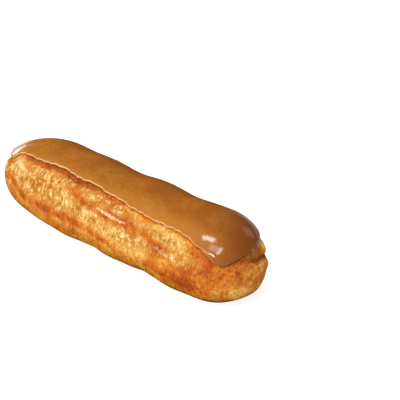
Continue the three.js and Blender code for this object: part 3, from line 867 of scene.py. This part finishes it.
icing.data.materials.append(icing_finish)
keep_inside(icing, *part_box("coffee_icing"))
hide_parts("coffee_icing")
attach(icing, "root")


# The studio
# A pale table under soft light. A window and the bars of a lower one make the highlights on the nose, two
# more lights those on its far side and on the tail, and the two widest ones fill the rest.

FLOOR_HALF = 2.5
FLOOR_DROP = 0.00005
BORDER_RISE = 0.12  # the floor turns up at its border, so that a low view ends on it too
FLOOR_GREY = 0.3
FLOOR_GLOW = 0.88
AIR_GLOW = 0.08
corners = np.array([(-1, -1), (1, -1), (1, 1), (-1, 1)])
flat = [(x, y, -FLOOR_DROP) for x, y in (corners * FLOOR_HALF).tolist()]
raised = [(x, y, BORDER_RISE) for x, y in (corners * (FLOOR_HALF + BORDER_RISE)).tolist()]
borders = [(i, (i + 1) % 4, (i + 1) % 4 + 4, i + 4) for i in range(4)]
floor_mesh = bpy.data.meshes.new("studio_floor")
floor_mesh.from_pydata(flat + raised, [], [(0, 1, 2, 3)] + borders)
floor = bpy.data.objects.new("studio_floor", floor_mesh)
bpy.context.scene.collection.objects.link(floor)
floor_finish, tree, shader, place = new_finish("white card")
shader.inputs["Base Color"].default_value = (FLOOR_GREY, FLOOR_GREY, FLOOR_GREY, 1)
shader.inputs["Roughness"].default_value = 0.9
shader.inputs["Specular IOR Level"].default_value = 0.1
shader.inputs["Emission Color"].default_value = (1, 1, 1, 1)
shader.inputs["Emission Strength"].default_value = FLOOR_GLOW
floor.data.materials.append(floor_finish)

AIM_HEIGHT = 0.02  # the lights are turned to this height on the eclair


def softbox(name, direction, distance, length, width, watts, heading):
    """A light that far along direction, turned to the eclair, its length at that heading in plan."""
    light = bpy.data.lights.new(name, "AREA")
    light.shape = "RECTANGLE"
    light.size, light.size_y, light.energy = length, width, watts
    away = Vector(direction).normalized()
    heading = math.radians(heading)
    long_way = Vector((math.cos(heading), math.sin(heading), 0))
    long_way = (long_way - away * long_way.dot(away)).normalized()
    turned = Matrix((long_way, away.cross(long_way), away)).transposed().to_4x4()
    holder = bpy.data.objects.new(name, light)
    holder.matrix_world = Matrix.Translation(away * distance + Vector((0, 0, AIM_HEIGHT))) @ turned
    bpy.context.scene.collection.objects.link(holder)


# Name, direction from the eclair, metres away, length, width, watts, and the length's heading in degrees.
LIGHTS = [
    ("window", (-0.12, -0.21, 0.97), 0.7, 0.26, 0.13, 1.85, 20),
    ("lower_window", (0.19, -0.48, 0.88), 0.7, 0.2, 0.2, 0.6, 0),
    ("left_bar", (-0.16, -0.85, 0.51), 0.7, 0.36, 0.04, 1.1, 57),
    ("lowest_bar", (0.15, -0.76, 0.68), 0.7, 0.22, 0.04, 0.9, 0),
    ("right_bar", (0.36, -0.47, 0.85), 0.7, 0.27, 0.05, 0.7, 100),
    ("left_fill", (-0.55, -0.6, 0.58), 1.0, 0.45, 0.3, 1.05, -45),
    ("overhead_fill", (0.05, -0.3, 0.95), 1.1, 1.0, 0.8, 0.2, 0),
    ("far_light", (0.24, 0.9, 0.39), 0.8, 0.16, 0.26, 0.2, 0),
    ("tail_light", (-0.95, 0.27, 0.13), 0.6, 0.24, 0.14, 1.3, 90),
]
for light_sizes in LIGHTS:
    softbox(*light_sizes)

world = bpy.data.worlds.new("studio_air")
bpy.context.scene.world = world
world.use_nodes = True
world.node_tree.nodes["Background"].inputs["Color"].default_value = (1, 1, 1, 1)
world.node_tree.nodes["Background"].inputs["Strength"].default_value = AIR_GLOW
bpy.context.scene.view_settings.view_transform = "Standard"

# The camera is aimed off the eclair, which stands left of the middle of the photograph.
PHOTO_WIDTH = 400
FOCAL_PIXELS = 771.5
SENSOR_WIDTH = 36.0
TARGET = Vector((0, 0, 0.018))
VIEW_AZIMUTH = math.radians(39.44)
VIEW_ELEVATION = math.radians(34.97)
VIEW_DISTANCE = 0.3647
AIM_YAW = math.radians(-6.647)
AIM_PITCH = math.radians(-0.8375)
AIM_ROLL = math.radians(3.542)


def back_from(azimuth, elevation):
    """The direction from the eclair to a viewer there, azimuth 0 being straight in front of it."""
    flat = math.cos(elevation)
    return Vector((math.sin(azimuth) * flat, -math.cos(azimuth) * flat, math.sin(elevation)))


lens = bpy.data.cameras.new("photo_camera")
lens.sensor_width = SENSOR_WIDTH
lens.lens = FOCAL_PIXELS / PHOTO_WIDTH * SENSOR_WIDTH
lens.clip_start = 0.01
camera = bpy.data.objects.new("photo_camera", lens)
bpy.context.scene.collection.objects.link(camera)
back = back_from(VIEW_AZIMUTH + AIM_YAW, VIEW_ELEVATION + AIM_PITCH)
level = Vector((math.cos(VIEW_AZIMUTH + AIM_YAW), math.sin(VIEW_AZIMUTH + AIM_YAW), 0))
upward = back.cross(level)
right = level * math.cos(AIM_ROLL) + upward * math.sin(AIM_ROLL)
top = upward * math.cos(AIM_ROLL) - level * math.sin(AIM_ROLL)
turned = Matrix((right, top, back)).transposed().to_4x4()
stand = TARGET + back_from(VIEW_AZIMUTH, VIEW_ELEVATION) * VIEW_DISTANCE
camera.matrix_world = Matrix.Translation(stand) @ turned
bpy.context.scene.camera = camera
